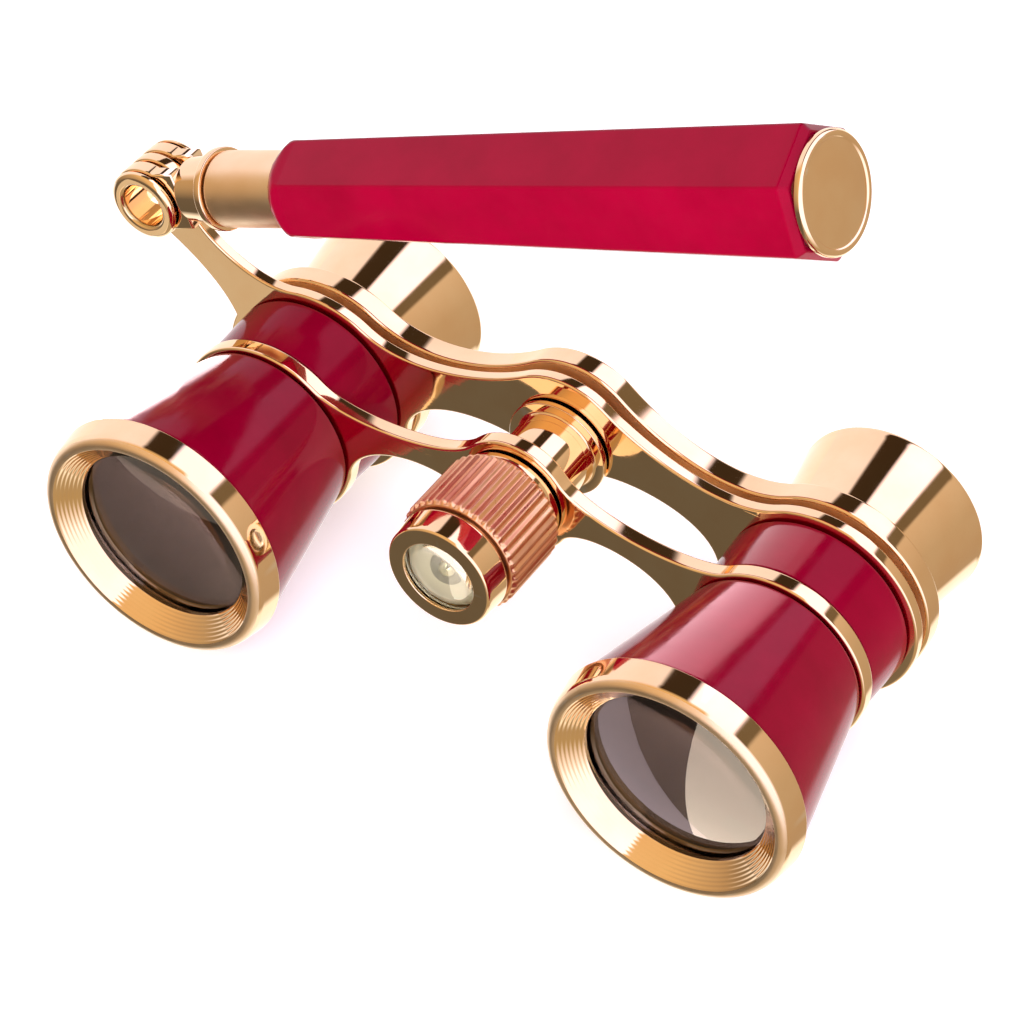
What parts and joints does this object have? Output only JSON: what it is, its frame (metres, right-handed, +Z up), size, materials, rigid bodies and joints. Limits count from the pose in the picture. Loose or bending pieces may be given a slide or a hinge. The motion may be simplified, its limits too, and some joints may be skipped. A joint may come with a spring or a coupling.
{
  "type": "opera glasses",
  "caption": "Galilean opera glasses with gilt bridges, enamelled barrels, a centre focus knob with a reading light, and a folding, telescoping side handle.",
  "frame": {"origin": "middle of the whole object's footprint, at its lowest point, with the handle folded over as in the picture", "axes": "+X across the two barrels, from the hinge side to the plain side; +Y from the objectives to the eyepieces, along both optical axes; +Z up, towards the handle"},
  "size_m": [0.1072, 0.0506, 0.0775],
  "materials": {
    "gold_plate": "mirror-polished gold plating on brass",
    "crimson_enamel": "glossy crimson enamel",
    "coated_glass": "clear crown glass with a violet-brown anti-reflection coating",
    "black_anodised": "matt black anodised",
    "plain_brass": "plain turned brass",
    "bright_steel": "bright turned steel",
    "light_plastic": "clear moulded plastic, slightly warm",
    "white_plastic": "white moulded plastic"
  },
  "bodies": {
    "frame": {"objective_bezel_left": "gold_plate", "objective_bezel_right": "gold_plate", "objective_lens_left": "coated_glass", "objective_lens_right": "coated_glass", "objective_retainer_left": "black_anodised", "objective_retainer_right": "black_anodised", "objective_cone_left": "crimson_enamel", "objective_cone_right": "crimson_enamel", "middle_tube_left": "crimson_enamel", "middle_tube_right": "crimson_enamel", "front_bridge": "gold_plate", "rear_bridge": "gold_plate", "focus_tube": "gold_plate", "focus_bush": "plain_brass", "hinge_rivet": "gold_plate"},
    "eyepiece_carriage": {"draw_tube_left": "plain_brass", "draw_tube_right": "plain_brass", "eyepiece_left": "gold_plate", "eyepiece_right": "gold_plate", "ocular_lens_left": "coated_glass", "ocular_lens_right": "coated_glass", "ocular_retainer_left": "black_anodised", "ocular_retainer_right": "black_anodised", "eyepiece_bridge": "gold_plate", "focus_nut": "plain_brass", "bridge_cap": "gold_plate"},
    "focus_knob": {"focus_knob": "gold_plate", "focus_screw": "bright_steel", "battery_cell_front": "bright_steel", "battery_cell_rear": "bright_steel", "contact_spring": "bright_steel"},
    "light_head": {"light_bezel": "gold_plate", "light_lens": "light_plastic", "led_holder": "white_plastic", "led": "light_plastic"},
    "handle": {"handle_fork": "gold_plate", "handle_collar": "gold_plate", "handle_tube": "gold_plate", "tube_stop": "plain_brass"},
    "grip": {"handle_grip": "crimson_enamel", "handle_end_cap": "gold_plate"}
  },
  "joints": [
    {"name": "knob_turn", "type": "hinge", "parent": "frame", "child": "focus_knob", "pos_m": [0.00545, -0.00925, 0.0221], "axis": [0, 1, 0], "range_deg": [0, 247.5]},
    {"name": "focus_slide", "type": "slide", "parent": "frame", "child": "eyepiece_carriage", "axis": [0, 1, 0], "range_m": [0, 0.0055]},
    {"name": "light_twist", "type": "hinge", "parent": "focus_knob", "child": "light_head", "pos_m": [0.00545, -0.01565, 0.0221], "axis": [0, 1, 0], "range_deg": [0, 90]},
    {"name": "handle_fold", "type": "hinge", "parent": "frame", "child": "handle", "pos_m": [-0.04915, 0.0084, 0.03375], "axis": [0, -1, 0], "range_deg": [-10, 200]},
    {"name": "handle_extend", "type": "slide", "parent": "handle", "child": "grip", "axis": [0.915, 0, 0.4035], "range_m": [0, 0.045]}
  ],
  "couplings": [
    {"joint": "knob_turn", "follows": "focus_slide", "rad_per_m": 785.4}
  ]
}
